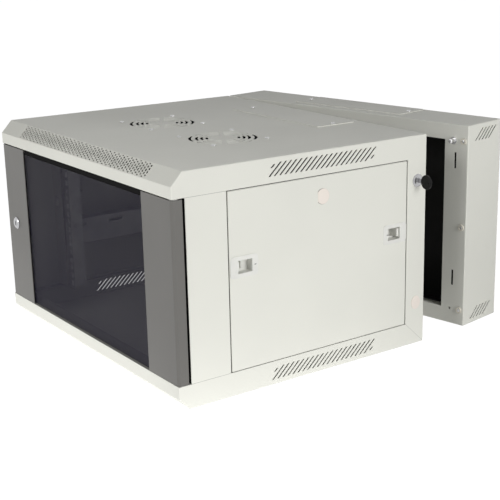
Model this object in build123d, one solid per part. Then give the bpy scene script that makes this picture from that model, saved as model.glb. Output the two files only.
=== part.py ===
from build123d import *
import os
from math import cos, radians, sin, sqrt

# Double-section wall mount network cabinet, six rack units high, in millimetres.
# +X points to the cabinet's right, +Y to its back and +Z up.
# The origin is the centre of the main body's underside.
# The main body is square to the axes. The wall section stands behind it, turned by
# OPEN_ANGLE about the hinge at the left rear edge, as when the cabinet is partly open.

# Main body
WIDTH = 600
HEIGHT = 368
DEPTH = 498
SHEET = 1.2  # wall of the folded sheet
EDGE_RADIUS = 2.0  # outside of the folded corners
BEND = 0.8  # inside of a fold
HALF = WIDTH / 2
FRONT = -DEPTH / 2
BACK = DEPTH / 2

# Clearances
PIN_FIT = 0.05  # radial, round a pin that turns
SCREW_FIT = 0.3  # radial, round a screw or a lock body
SEAT_GAP = 0.3  # between pieces that rest on each other but come apart
PANEL_GAP = 1.2  # round a side panel

# Top and bottom frames
TOP_BAND = 39.7  # height of the top frame's sides
TOP_CHAMFER_DEPTH = 20
TOP_CHAMFER_RISE = 21
BOTTOM_BAND = 39.6
BOTTOM_CHAMFER_DEPTH = 18.6
BOTTOM_CHAMFER_RISE = 18.7
LIP = 16  # inward lip along the open edge of both frames
FRONT_LIP = 30  # the same lip in front, behind the door
TOP_SEAM = HEIGHT - TOP_BAND
BOTTOM_SEAM = BOTTOM_BAND
SEAM_MIDDLE = (TOP_SEAM + BOTTOM_SEAM) / 2

# Perforation of the top chamfer: staggered rows of slots, longest in the middle row
PERF_ROWS = 9
PERF_PITCH = 13.95
PERF_COLUMNS = int((WIDTH - 150) / PERF_PITCH)
PERF_ROW_PITCH = 2.9
PERF_SLOT_WIDTH = 4.3
PERF_MIDDLE_LENGTH = 5.0
PERF_LENGTH_STEP = 0.65

# Slanted vents in the sides of both sections
VENT_SLOT = 3.6  # width, along the side
VENT_PITCH = 10
VENT_SLANT = 22.5  # how far a slot leans back over its height
VENT_HEIGHT = 21
VENT_EDGE = 8.4  # from the vents to the top or bottom
VENT_COUNT = 20
VENT_START = DEPTH / 2 - 78  # from the front
VENT_STUB = 0.26  # length of the short end slots, as a share of a slot
WALL_VENT_COUNT = 5
WALL_VENT_START = 20

# Pillars
PILLAR_SETBACK = 22  # from the front, behind the door
FRONT_PILLAR_DEPTH = 73
FRONT_PILLAR_FACE = 26
REAR_PILLAR_DEPTH = 42
REAR_PILLAR_FACE = 50
PILLAR_RETURN = 34
FRONT_PILLAR_BACK = FRONT + PILLAR_SETBACK + FRONT_PILLAR_DEPTH
REAR_PILLAR_FRONT = BACK - REAR_PILLAR_DEPTH
SIDE_MIDDLE = (FRONT_PILLAR_BACK + REAR_PILLAR_FRONT) / 2

# Rack rails and the braces that carry them
RACK_UNIT = 44.45
RACK_UNITS = int((TOP_SEAM - BOTTOM_SEAM) / RACK_UNIT)
RAIL_HOLE_SPACING = 465.1
RAIL_HOLE = 9.5
RAIL_HOLE_STEP = 15.875  # between the holes of one unit
RAIL_SHEET = 1.5
RAIL_INNER = 225  # inner edge, from the middle
RAIL_OUTER = 250
RAIL_DEPTH = 35
RAIL_OVERRUN = 6.5  # past the last unit
FRONT_RAIL_SETBACK = 90
REAR_RAIL_SETBACK = DEPTH - 50
BRACE_HEIGHT = 50
LOWER_BRACE_RISE = 110  # from the bottom frame to the lower brace's middle
UPPER_BRACE_DROP = 39  # from the top frame to the upper brace's middle
BRACE_OVERLAP = 8  # on the pillars' returns
BRACE_FLANGE = HALF - PILLAR_RETURN + BRACE_OVERLAP - RAIL_OUTER
BRACE_SLOT = 30
BRACE_SLOT_WIDTH = 6.4
BRACE_SLOT_RISE = 13  # of the slots above a brace's middle
BRACE_SLOTS = 5
BRACE_SLOT_INSET = 22.5  # of the end slots' middles, from the pillars
BRACE_SLOT_PITCH = (REAR_PILLAR_FRONT - FRONT_PILLAR_BACK - 2 * BRACE_SLOT_INSET) / (BRACE_SLOTS - 1)

# Fans
FAN_SIZE = 120
FAN_DEPTH = 25
FAN_SCREW_SPACING = 105
FAN_PITCH = 197.5
FAN_MIDDLE = 10.5  # middle of the pair, right of the cabinet's middle
FAN_SETBACK = 215.5
FAN_DUCT_RADIUS = 58.5
FAN_HUB_RADIUS = 20
FAN_TIP_GAP = 2
FAN_STRUT = 6
FAN_BLADES = 7
FAN_BLADE_ANGLE = 38
FAN_BLADE_WIDTH = 27
FAN_BLADE_THICK = 1.8
FAN_AXLE_RADIUS = 1.5
GRILLE_OUTER = 55.2  # middle of the outer ring slot
GRILLE_INNER_RINGS = 3
GRILLE_FIRST = 44.3  # middle of the largest inner ring slot
GRILLE_PITCH = 8.65
GRILLE_SLOT = 5
GRILLE_SPOKE = 7
GRILLE_SPOKE_TURN = 30

# Cable entries and their cover plates
ENTRY_LENGTH = 230
ENTRY_DEPTH = 50
COVER_LENGTH = ENTRY_LENGTH + 34
COVER_DEPTH = ENTRY_DEPTH + 32
COVER_SETBACK = 19  # from the back of the section
COVER_SCREW_INSET = 9
WALL_COVER_DEPTH = COVER_DEPTH - 6
WALL_TOP_COVER_SETBACK = 3
WALL_BOTTOM_COVER_SETBACK = 16

# Side panels, their plug and their latches
PANEL_FLANGE = 12
PLUG_RADIUS = 13
PLUG_HOLE_RADIUS = 11
PLUG_HEIGHT = TOP_SEAM - 34.8
PLUG_FLAT = 9.5  # from the middle to the flat on the plug's front side
PLUG_PROUD = 0.7
LATCH_HEIGHT = HEIGHT / 2 + 23
LATCH_TALL = 34
LATCH_LENGTH = 51
LATCH_INSET = 2.5  # from the pillar's edge to the bezel
LATCH_PROUD = 0.8
LATCH_BODY_INSET = 4  # from the bezel's rim to the body behind it
LATCH_BODY_DEPTH = 23
POCKET_LENGTH = 26.4
POCKET_TALL = 20.6
POCKET_DEPTH = 14
POCKET_INSET = 14
TONGUE_TALL = 14
TONGUE_THICK = 4.8
TONGUE_DEEP = 18  # from the outside to the tongue's middle
TONGUE_REACH = 6  # past the pillar's edge
TONGUE_TRAVEL = 8
TAB_THICK = 4

# Door
DOOR_BOTTOM = BOTTOM_SEAM + 0.9
DOOR_TOP = TOP_SEAM - 1.8
DOOR_DEPTH = 18.8
STRIP_WIDTH = 89
STRIP_BEVEL_WIDTH = 4.5
STRIP_BEVEL_DEPTH = 3.5
STRIP_RETURN = 14
GASKET_THICK = 1.8
GASKET_WIDTH = 14
GLASS_THICK = 4
GLASS_UNDER_STRIP = 33  # how far the glass reaches behind each strip
GLASS_DROP = 4.5  # from the strips' top to the glass's
GLASS_RISE = 1  # from the strips' bottom to the glass's
HINGE_INSET = 7.5  # door pins, from the door's right edge and from its front
DOOR_PIN_RADIUS = 3
BRACKET_THICK = 2
BRACKET_LENGTH = 18
WASHER_RADIUS = 6.5

# Locks
LOCK_FLANGE_RADIUS = 11
LOCK_FLANGE = 3
LOCK_BODY_RADIUS = 9
LOCK_BODY_LENGTH = 20
LOCK_PLUG_RADIUS = 5.5
LOCK_NUT_FLATS = 21
LOCK_NUT = 3
KEYWAY_WIDTH = 2.6
KEYWAY_TALL = 7.6
KEYWAY_DEPTH = 18
CAM_THICK = 2
CAM_WIDTH = 10
DOOR_CAM_REACH = 28
DOOR_CAM_PLANE = 24.6  # from the front, behind the pillar's face
DOOR_LOCK_INSET = 39  # from the door's left edge
DOOR_LOCK_HEIGHT = HEIGHT / 2
SWING_CAM_REACH = 32
SWING_CAM_PLANE = 27  # from the right side to the cam's middle
SWING_CAM_LEAN = 15  # forward of upright when unlocked
SWING_LOCK_INSET = 19.6  # from the back
SWING_LOCK_HEIGHT = TOP_SEAM - 37.3
SPARE_LOCK_HEIGHT = BOTTOM_SEAM + 35.7
CAM_SLOT_WIDTH = 4.6
CAM_SLOT_BELOW = 1.6
CAM_SLOT_ABOVE = 27.2
OVAL_PLUG_HEIGHT = 24
OVAL_PLUG_WIDTH = 20

# Key in the swing lock
KEY_HEAD_RADIUS = 12.3
KEY_HEAD_THICK = 4.5
KEY_HEAD_OUT = 22  # its middle, from the cabinet's side
KEY_BLADE_THICK = 2
KEY_BLADE_TALL = 7
KEY_HOLE_RADIUS = 2.4
KEY_HOLE_OUT = 7.2  # past the middle of the head

# Wall section
WALL_DEPTH = 100
CLOSED_GAP = 3  # between the sections when closed
OPEN_ANGLE = 10
WALL_FLANGE_SIDE = 49.5
WALL_FLANGE_TOP = 28.5
WALL_FLANGE_LIP = 8
BACK_PLATE_FLANGE = 15
WALL_HOLE_RADIUS = 5
WALL_HOLE_SPACING = WIDTH - 100
WALL_HOLE_RISE = HEIGHT - 120
WALL_CUTOUT_WIDTH = 260
WALL_CUTOUT_HEIGHT = 80
WALL_CUTOUT_LOW = 60  # its lower edge
BUFFER_RADIUS = 5.75
BUFFER_HEIGHT = 2.6
BUFFER_INSET = 10
BUFFER_EDGE = 28.8  # of the outer buffers, from the top and bottom
GUIDE_PIN_RADIUS = 4
GUIDE_PIN_LENGTH = 12
GUIDE_PIN_INSET = 31
GUIDE_PIN_EDGE = 28.8  # from the top
GUIDE_COLLAR_RADIUS = 6.5
GUIDE_COLLAR = 1.4
GUIDE_PLAY = 2  # round the pin in the main body

# Section hinges, outside the left rear edge
BARREL_RADIUS = 4.5
BARREL_OUT = 5.5  # hinge axis, from the left side
HINGE_PIN_RADIUS = 2
LEAF = 1.2
LEAF_WIDTH = 26
LEAF_HEIGHT = 64
LEAF_EDGE = TOP_BAND + LEAF_HEIGHT / 2 + 3.3  # middle of each hinge, from the top or bottom
KNUCKLE_GAP = 0.4

# Screws and the earth stud
SCREW_RADIUS = 2
SCREW_HEAD_RADIUS = 4.2
SCREW_HEAD = 2.2
HEAD_SIDES = 12  # small screws are many-sided bars
SHANK_SIDES = 8
EARTH_STUD_RADIUS = 3
EARTH_STUD_LENGTH = 18
EARTH_SHOULDER = 3.5  # radius of the stud in the sheet and the nut
EARTH_NUT_FLATS = 10
EARTH_NUT = 5
EARTH_STUD_OFFSET = HALF - 38
EARTH_STUD_SETBACK = DEPTH - 68

SWING_X = -HALF - BARREL_OUT
SWING_Y = BACK + CLOSED_GAP / 2
WALL_FRONT = BACK + CLOSED_GAP
WALL_BACK = WALL_FRONT + WALL_DEPTH
DOOR_PIN_X = HALF - HINGE_INSET
DOOR_PIN_Y = FRONT + HINGE_INSET
LATCH_DEEP = HALF - TONGUE_DEEP
X_AXIS, Y_AXIS, Z_AXIS = (1, 0, 0), (0, 1, 0), (0, 0, 1)

parts = {}


# Shapes that several pieces use


def block(x0, x1, y0, y1, z0, z1):
    """Return a rectangular block between the given limits."""
    return Pos((x0 + x1) / 2, (y0 + y1) / 2, (z0 + z1) / 2) * Box(x1 - x0, y1 - y0, z1 - z0)


def rod(radius, start, axis, length):
    """Return a cylinder that starts at a point and runs along an axis."""
    base = (Align.CENTER, Align.CENTER, Align.MIN)
    return Plane(origin=start, z_dir=axis) * Cylinder(radius, length, align=base)


def along_x(outline, x0, x1):
    """Extrude an outline of (y, z) points from x0 to x1."""
    return extrude(Plane.YZ.offset(x0) * outline, amount=x1 - x0)


def along_y(outline, y0, y1):
    """Extrude an outline of (x, z) points from y0 to y1."""
    return extrude(Plane.XZ.offset(-y0) * outline, amount=y0 - y1)


def along_z(outline, z0, z1):
    """Extrude an outline of (x, y) points from z0 to z1."""
    return extrude(Plane.XY.offset(z0) * outline, amount=z1 - z0)


def polygon(points):
    """Return the flat face inside a closed run of points."""
    return make_face(Polyline(*points, close=True))


def inset(points, wall):
    """Return the points moved by one wall to the left of the path through them."""
    path = [Vector(*point) for point in points]
    steps = [(end - start).normalized() for start, end in zip(path, path[1:])]
    sides = [Vector(-step.Y, step.X) for step in steps]
    moved = [path[0] + sides[0] * wall]
    for corner, before, after in zip(path[1:-1], sides, sides[1:]):
        moved.append(corner + (before + after) * (wall / (1 + before.dot(after))))
    moved.append(path[-1] + sides[-1] * wall)
    return [(point.X, point.Y) for point in moved]


def folded(points, wall):
    """Return the section of a folded strip, its wall on the left of the path."""
    inner = inset(points, wall)
    face = polygon(points + inner[::-1])
    for number in range(1, len(points) - 1):
        before, corner, after = (Vector(*points[number + step]) for step in (-1, 0, 1))
        turns_left = (corner - before).cross(after - corner).Z > 0
        for point, outside in ((points[number], turns_left), (inner[number], not turns_left)):
            vertex = face.vertices().sort_by_distance((point[0], point[1], 0))[0]
            face = fillet(vertex, BEND + wall if outside else BEND)
    return face


def pan(path, open_edge, x0, x1):
    """Return a folded pan whose outer side view follows the path, open at one height."""
    solid = along_x(polygon(path), x0, x1)
    rims = [edge for edge in solid.edges()
            if any(abs(vertex.Z - open_edge) > 0.01 for vertex in edge.vertices())]
    solid = fillet(rims, EDGE_RADIUS)
    inner = inset(path, SHEET)
    past = (open_edge + HEIGHT / 2) / 2
    hollow = [(inner[0][0], past)] + inner[1:-1] + [(inner[-1][0], past)]
    return solid - along_x(polygon(hollow), x0 + SHEET, x1 - SHEET)


def lip_ring(z0, z1):
    """Return the inward lip round the open edge of a frame, widest in front, behind the door."""
    inside = SHEET / 2
    ring = block(-HALF + inside, HALF - inside, FRONT + inside, BACK - inside, z0, z1)
    ring -= block(-HALF + LIP, HALF - LIP, FRONT + FRONT_LIP, BACK - LIP, z0 - 1, z1 + 1)
    return ring


def vents(start, count, z0, x0, x1, stubs):
    """Return the cutters of a row of slanted slots in a side, with short ones at its ends."""
    slots = []
    for number in range(count):
        y = start + number * VENT_PITCH
        slots.append([(y, 0), (y + VENT_SLOT, 0), (y + VENT_SLOT + VENT_SLANT, 1), (y + VENT_SLANT, 1)])
    if stubs:
        first = start - VENT_PITCH + VENT_SLANT * (1 - VENT_STUB - 0.12)
        last = start + count * VENT_PITCH + VENT_SLANT * 0.12
        for y, low in ((first, 1 - VENT_STUB - 0.12), (last, 0.12)):
            lean = VENT_SLANT * VENT_STUB
            slots.append([(y, low), (y + VENT_SLOT, low),
                          (y + VENT_SLOT + lean, low + VENT_STUB), (y + lean, low + VENT_STUB)])
    faces = [polygon([(y, z0 + share * VENT_HEIGHT) for y, share in slot]) for slot in slots]
    return along_x(Sketch() + faces, x0, x1)


def flip(shape):
    """Return the left-hand twin of a right-hand piece."""
    return mirror(shape, about=Plane.YZ)


def group(shapes):
    """Return like pieces as one node of separate solids."""
    return Compound(children=[solid for shape in shapes for solid in shape.solids()])


def screw(point, axis, length, head_radius=SCREW_HEAD_RADIUS, head=SCREW_HEAD):
    """Return a screw whose head stands on the point and whose shank runs against the axis."""
    cap = RegularPolygon(head_radius, HEAD_SIDES)
    shank = RegularPolygon(SCREW_RADIUS, SHANK_SIDES)
    bar = extrude(cap, amount=head) + extrude(shank, amount=-length)
    return Location(Plane(origin=point, z_dir=axis)) * bar


def screw_hole(point, axis, length, play=0):
    """Return the cutter of a screw's hole, which starts at a point and runs along an axis."""
    outline = RegularPolygon(SCREW_RADIUS + play, SHANK_SIDES, major_radius=False)
    return Location(Plane(origin=point, z_dir=axis)) * extrude(outline, amount=length)


# Top frame: one folded pan with the chamfer, the vents and the two fan grilles


def perforation():
    """Return the cutters of the chamfer's staggered slots, shorter towards the outer rows."""
    slope = sqrt(TOP_CHAMFER_DEPTH**2 + TOP_CHAMFER_RISE**2)
    middle = (0, FRONT + TOP_CHAMFER_DEPTH / 2, HEIGHT - TOP_CHAMFER_RISE / 2)
    normal = (0, -TOP_CHAMFER_RISE / slope, TOP_CHAMFER_DEPTH / slope)
    plane = Plane(origin=middle, x_dir=X_AXIS, z_dir=normal)
    slots = []
    for row in range(PERF_ROWS):
        away = abs(row - (PERF_ROWS - 1) / 2)
        length = PERF_MIDDLE_LENGTH - PERF_LENGTH_STEP * away
        shift = PERF_PITCH / 4 if row % 2 else -PERF_PITCH / 4
        y = (row - (PERF_ROWS - 1) / 2) * PERF_ROW_PITCH
        for column in range(PERF_COLUMNS):
            x = (column - (PERF_COLUMNS - 1) / 2) * PERF_PITCH + shift
            slots.append(Pos(x, y) * Rectangle(PERF_SLOT_WIDTH, length))
    return extrude(plane * (Sketch() + slots), amount=2 * SHEET, both=True)


def fan_places():
    """Return the x and y of the two fans' axes."""
    return [(FAN_MIDDLE + side * FAN_PITCH / 2, FRONT + FAN_SETBACK) for side in (-1, 1)]


def fan_corners(x, y):
    """Return the four screw places of a fan."""
    reach = FAN_SCREW_SPACING / 2
    return [(x + across * reach, y + along * reach) for across in (-1, 1) for along in (-1, 1)]


def grille():
    """Return the face of one fan grille's ring slots, parted by its spokes."""
    rings = Sketch()
    inner = [GRILLE_FIRST - number * GRILLE_PITCH for number in range(GRILLE_INNER_RINGS)]
    for radius in [GRILLE_OUTER] + inner:
        rings += Circle(radius + GRILLE_SLOT / 2) - Circle(radius - GRILLE_SLOT / 2)
    for spoke in range(3):
        turn = Rot(Z=GRILLE_SPOKE_TURN + 60 * spoke)
        rings -= turn * Rectangle(2 * GRILLE_OUTER + 2 * GRILLE_SLOT, GRILLE_SPOKE)
    return rings


def make_top_frame():
    """Return the top frame."""
    path = [(BACK, TOP_SEAM), (BACK, HEIGHT), (FRONT + TOP_CHAMFER_DEPTH, HEIGHT),
            (FRONT, HEIGHT - TOP_CHAMFER_RISE), (FRONT, TOP_SEAM)]
    frame = pan(path, TOP_SEAM, -HALF, HALF) + lip_ring(TOP_SEAM, TOP_SEAM + SHEET)
    frame -= perforation()
    vent_low = HEIGHT - VENT_EDGE - VENT_HEIGHT
    frame -= vents(FRONT + VENT_START, VENT_COUNT, vent_low, -HALF - 1, HALF + 1, True)
    for x, y in fan_places():
        frame -= along_z(Pos(x, y) * grille(), HEIGHT - 2 * SHEET, HEIGHT + 1)
        for corner in fan_corners(x, y):
            frame -= screw_hole((*corner, HEIGHT - 2 * SHEET), Z_AXIS, 3 * SHEET, SCREW_FIT)
    entry_y = BACK - COVER_SETBACK - COVER_DEPTH / 2
    frame -= block(-ENTRY_LENGTH / 2, ENTRY_LENGTH / 2, entry_y - ENTRY_DEPTH / 2,
                   entry_y + ENTRY_DEPTH / 2, HEIGHT - 2 * SHEET, HEIGHT + 1)
    for x, y in cover_screw_places(entry_y):
        frame -= screw_hole((x, y, HEIGHT - 2 * SHEET), Z_AXIS, 3 * SHEET)
    pin_hole = (DOOR_PIN_X, DOOR_PIN_Y, TOP_SEAM - 1)
    frame -= rod(DOOR_PIN_RADIUS + PIN_FIT, pin_hole, Z_AXIS, SHEET + 2)
    guide = (HALF - GUIDE_PIN_INSET, BACK - 2 * SHEET, HEIGHT - GUIDE_PIN_EDGE)
    frame -= rod(GUIDE_PIN_RADIUS + GUIDE_PLAY, guide, Y_AXIS, 3 * SHEET)
    return frame


def cover_screw_places(y):
    """Return the places of a cover plate's two screws."""
    reach = COVER_LENGTH / 2 - COVER_SCREW_INSET
    return [(-reach, y), (reach, y)]


parts["top_frame"] = make_top_frame()


# Bottom frame: the same kind of pan, open upwards


def make_bottom_frame():
    """Return the bottom frame."""
    path = [(FRONT, BOTTOM_SEAM), (FRONT, BOTTOM_CHAMFER_RISE),
            (FRONT + BOTTOM_CHAMFER_DEPTH, 0), (BACK, 0), (BACK, BOTTOM_SEAM)]
    frame = pan(path, BOTTOM_SEAM, -HALF, HALF) + lip_ring(BOTTOM_SEAM - SHEET, BOTTOM_SEAM)
    frame -= vents(FRONT + VENT_START, VENT_COUNT, VENT_EDGE, -HALF - 1, HALF + 1, True)
    entry_y = BACK - COVER_SETBACK - COVER_DEPTH / 2
    frame -= block(-ENTRY_LENGTH / 2, ENTRY_LENGTH / 2, entry_y - ENTRY_DEPTH / 2,
                   entry_y + ENTRY_DEPTH / 2, -1, 2 * SHEET)
    for x, y in cover_screw_places(entry_y):
        frame -= screw_hole((x, y, -1), Z_AXIS, 3 * SHEET)
    pin_hole = (DOOR_PIN_X, DOOR_PIN_Y, BOTTOM_SEAM - SHEET - 1)
    frame -= rod(DOOR_PIN_RADIUS + PIN_FIT, pin_hole, Z_AXIS, SHEET + 2)
    earth = (EARTH_STUD_OFFSET, FRONT + EARTH_STUD_SETBACK, -1)
    frame -= rod(EARTH_SHOULDER, earth, Z_AXIS, SHEET + 2)
    return frame


parts["bottom_frame"] = make_bottom_frame()


# Pillars between the two frames


def tongue_slot(face_y):
    """Return the cutter of the slot that a latch's tongue enters in a pillar."""
    half = TONGUE_TALL / 2 + 1.5
    deep = TONGUE_THICK / 2 + 1.1
    return block(LATCH_DEEP - deep, LATCH_DEEP + deep, face_y - 2 * SHEET, face_y + 2 * SHEET,
                 LATCH_HEIGHT - half, LATCH_HEIGHT + half)


def cam_slot(height, y0, y1):
    """Return the cutter of a slot for the swing lock's cam."""
    x = HALF - SWING_CAM_PLANE
    return block(x - CAM_SLOT_WIDTH / 2, x + CAM_SLOT_WIDTH / 2, y0, y1,
                 height - CAM_SLOT_BELOW, height + CAM_SLOT_ABOVE)


def make_front_pillar():
    """Return the right front pillar."""
    face_y = FRONT + PILLAR_SETBACK
    path = [(HALF - FRONT_PILLAR_FACE, face_y), (HALF, face_y), (HALF, FRONT_PILLAR_BACK),
            (HALF - PILLAR_RETURN, FRONT_PILLAR_BACK)]
    return along_z(folded(path, SHEET), BOTTOM_SEAM, TOP_SEAM) - tongue_slot(FRONT_PILLAR_BACK)


def make_rear_pillar(with_locks):
    """Return the right rear pillar, with or without its two lock holes."""
    path = [(HALF - PILLAR_RETURN, REAR_PILLAR_FRONT), (HALF, REAR_PILLAR_FRONT), (HALF, BACK),
            (HALF - REAR_PILLAR_FACE, BACK)]
    pillar = along_z(folded(path, SHEET), BOTTOM_SEAM, TOP_SEAM) - tongue_slot(REAR_PILLAR_FRONT)
    if with_locks:
        for height in (SWING_LOCK_HEIGHT, SPARE_LOCK_HEIGHT):
            hole = (HALF - 2 * SHEET, BACK - SWING_LOCK_INSET, height)
            pillar -= rod(LOCK_BODY_RADIUS + SCREW_FIT, hole, X_AXIS, 3 * SHEET)
            pillar -= cam_slot(height, BACK - 2 * SHEET, BACK + 1)
    return pillar


parts["front_pillar_right"] = make_front_pillar()
parts["front_pillar_left"] = flip(make_front_pillar())
parts["rear_pillar_right"] = make_rear_pillar(True)
parts["rear_pillar_left"] = flip(make_rear_pillar(False))


# Braces from front to back, and the rack rails bolted to them


def brace_heights():
    """Return the middle heights of the lower and upper brace."""
    return [BOTTOM_SEAM + LOWER_BRACE_RISE, TOP_SEAM - UPPER_BRACE_DROP]


def make_brace(height):
    """Return one right-hand brace, a channel with its ends folded against the pillars."""
    low, high = height - BRACE_HEIGHT / 2, height + BRACE_HEIGHT / 2
    outer = RAIL_OUTER + BRACE_FLANGE
    path = [(outer, high), (RAIL_OUTER, high), (RAIL_OUTER, low), (outer, low)]
    channel = along_y(folded(path, SHEET), FRONT_PILLAR_BACK, REAR_PILLAR_FRONT)
    half = (BRACE_HEIGHT - SHEET) / 2
    for start in (FRONT_PILLAR_BACK, REAR_PILLAR_FRONT - SHEET):
        channel += block(RAIL_OUTER + SHEET / 2, outer, start, start + SHEET, height - half, height + half)
    slot = Rectangle(BRACE_SLOT, BRACE_SLOT_WIDTH)
    slot = chamfer(slot.vertices(), BRACE_SLOT_WIDTH * 0.3)
    for number in range(BRACE_SLOTS):
        y = SIDE_MIDDLE + (number - (BRACE_SLOTS - 1) / 2) * BRACE_SLOT_PITCH
        place = Pos(y, height + BRACE_SLOT_RISE)
        channel -= along_x(place * slot, RAIL_OUTER - 1, RAIL_OUTER + 2 * SHEET)
    return channel


def rail_hole_heights():
    """Return the heights of a rail's square holes, three to a rack unit."""
    low = SEAM_MIDDLE - RACK_UNITS * RACK_UNIT / 2
    first = (RACK_UNIT - 2 * RAIL_HOLE_STEP) / 2
    return [low + unit * RACK_UNIT + first + hole * RAIL_HOLE_STEP
            for unit in range(RACK_UNITS) for hole in range(3)]


def rail_bolt_places(setback, facing):
    """Return the y and z of the bolts of one rail, one on each brace."""
    y = FRONT + setback + facing * RAIL_DEPTH * 0.6
    return [(y, height + BRACE_SLOT_RISE) for height in brace_heights()]


def make_rail(setback, facing):
    """Return a right-hand rack rail; facing is 1 on a front rail and -1 on a rear one."""
    y = FRONT + setback
    path = [(RAIL_INNER, y), (RAIL_OUTER, y), (RAIL_OUTER, y + facing * RAIL_DEPTH)]
    if facing < 0:
        path = path[::-1]
    half = RACK_UNITS * RACK_UNIT / 2 + RAIL_OVERRUN
    rail = along_z(folded(path, RAIL_SHEET), SEAM_MIDDLE - half, SEAM_MIDDLE + half)
    holes = [Pos(RAIL_HOLE_SPACING / 2, height) * Rectangle(RAIL_HOLE, RAIL_HOLE)
             for height in rail_hole_heights()]
    rail -= along_y(Sketch() + holes, y - 2 * RAIL_SHEET, y + 2 * RAIL_SHEET)
    for bolt_y, bolt_z in rail_bolt_places(setback, facing):
        hole = (RAIL_OUTER - 2 * RAIL_SHEET, bolt_y, bolt_z)
        rail -= screw_hole(hole, X_AXIS, 3 * RAIL_SHEET, SCREW_FIT)
    return rail


def make_rail_bolts():
    """Return the bolts that hold the right-hand rails, heads inside."""
    bolts = []
    for setback, facing in ((FRONT_RAIL_SETBACK, 1), (REAR_RAIL_SETBACK, -1)):
        for y, z in rail_bolt_places(setback, facing):
            point = (RAIL_OUTER - RAIL_SHEET, y, z)
            bolts.append(screw(point, (-1, 0, 0), RAIL_SHEET + SHEET + 6))
    return bolts


right_braces = [make_brace(height) for height in brace_heights()]
parts["braces_right"] = group(right_braces)
parts["braces_left"] = group([flip(brace) for brace in right_braces])
parts["front_rail_right"] = make_rail(FRONT_RAIL_SETBACK, 1)
parts["front_rail_left"] = flip(parts["front_rail_right"])
parts["rear_rail_right"] = make_rail(REAR_RAIL_SETBACK, -1)
parts["rear_rail_left"] = flip(parts["rear_rail_right"])
right_bolts = make_rail_bolts()
parts["rail_bolts"] = group(right_bolts + [flip(bolt) for bolt in right_bolts])


# Cable entry covers, outside on top and inside at the bottom


def make_cover(y, depth, z):
    """Return a cover plate that lies on the height z."""
    plate = block(-COVER_LENGTH / 2, COVER_LENGTH / 2, y - depth / 2, y + depth / 2, z, z + SHEET)
    plate = fillet(plate.edges().filter_by(Axis.Z), EDGE_RADIUS)
    for x, hole_y in cover_screw_places(y):
        plate -= screw_hole((x, hole_y, z - 1), Z_AXIS, SHEET + 2, SCREW_FIT)
    return plate


def make_cover_screws(y, z):
    """Return the two screws of a cover plate whose top is at z."""
    return [screw((x, screw_y, z), Z_AXIS, 2 * SHEET) for x, screw_y in cover_screw_places(y)]


cover_y = BACK - COVER_SETBACK - COVER_DEPTH / 2
parts["top_cable_cover"] = make_cover(cover_y, COVER_DEPTH, HEIGHT)
parts["bottom_cable_cover"] = make_cover(cover_y, COVER_DEPTH, SHEET)
cover_screws = make_cover_screws(cover_y, HEIGHT + SHEET) + make_cover_screws(cover_y, 2 * SHEET)
parts["cable_cover_screws"] = group(cover_screws)


# Fans under the top


def make_fan_frame(x, y):
    """Return a square fan frame with its duct, struts, motor seat and axle."""
    top = HEIGHT - SHEET
    low = top - FAN_DEPTH
    frame = along_z(Pos(x, y) * RectangleRounded(FAN_SIZE, FAN_SIZE, 6), low, top)
    frame -= rod(FAN_DUCT_RADIUS, (x, y, low - 1), Z_AXIS, FAN_DEPTH + 2)
    for turn in (45, 135):
        strut = Rot(Z=turn) * Box(2 * FAN_DUCT_RADIUS + 2, FAN_STRUT, FAN_STRUT / 2)
        frame += Pos(x, y, low + FAN_STRUT / 4) * strut
    frame += rod(FAN_HUB_RADIUS - 1, (x, y, low), Z_AXIS, FAN_STRUT / 2 + 1)
    frame += rod(FAN_AXLE_RADIUS, (x, y, low), Z_AXIS, FAN_DEPTH - 5)
    for corner_x, corner_y in fan_corners(x, y):
        frame -= screw_hole((corner_x, corner_y, low - 1), Z_AXIS, FAN_DEPTH + 2, SCREW_FIT)
    return frame


def make_fan_rotor(x, y):
    """Return a fan's hub and blades, running on the frame's axle."""
    low = HEIGHT - SHEET - FAN_DEPTH + FAN_STRUT / 2 + 1 + SEAT_GAP
    high = HEIGHT - SHEET - 2
    middle = (low + high) / 2
    root = FAN_HUB_RADIUS / 2
    tip = sqrt((FAN_DUCT_RADIUS - FAN_TIP_GAP) ** 2 - (FAN_BLADE_WIDTH / 2) ** 2)
    blade = Rot(X=FAN_BLADE_ANGLE) * Box(tip - root, FAN_BLADE_WIDTH, FAN_BLADE_THICK)
    rotor = Cylinder(FAN_HUB_RADIUS, high - low)
    for number in range(FAN_BLADES):
        rotor += Rot(Z=360 * number / FAN_BLADES) * Pos((root + tip) / 2, 0, 0) * blade
    rotor -= Cylinder(FAN_AXLE_RADIUS + PIN_FIT, high - low + 2)
    return Pos(x, y, middle) * rotor


fan_screws = []
for name, (fan_x, fan_y) in zip(("left", "right"), fan_places()):
    parts[f"fan_frame_{name}"] = make_fan_frame(fan_x, fan_y)
    parts[f"fan_rotor_{name}"] = make_fan_rotor(fan_x, fan_y)
    for corner_x, corner_y in fan_corners(fan_x, fan_y):
        fan_screws.append(screw((corner_x, corner_y, HEIGHT), Z_AXIS, SHEET + 15))
parts["fan_screws"] = group(fan_screws)


# Earth stud on the bottom frame


def hexagon_nut(flats, hole_radius, thick):
    """Return a hexagon nut standing on the XY plane."""
    nut = extrude(RegularPolygon(flats / 2, 6, major_radius=False), amount=thick)
    return nut - rod(hole_radius, (0, 0, -1), Z_AXIS, thick + 2)


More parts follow.
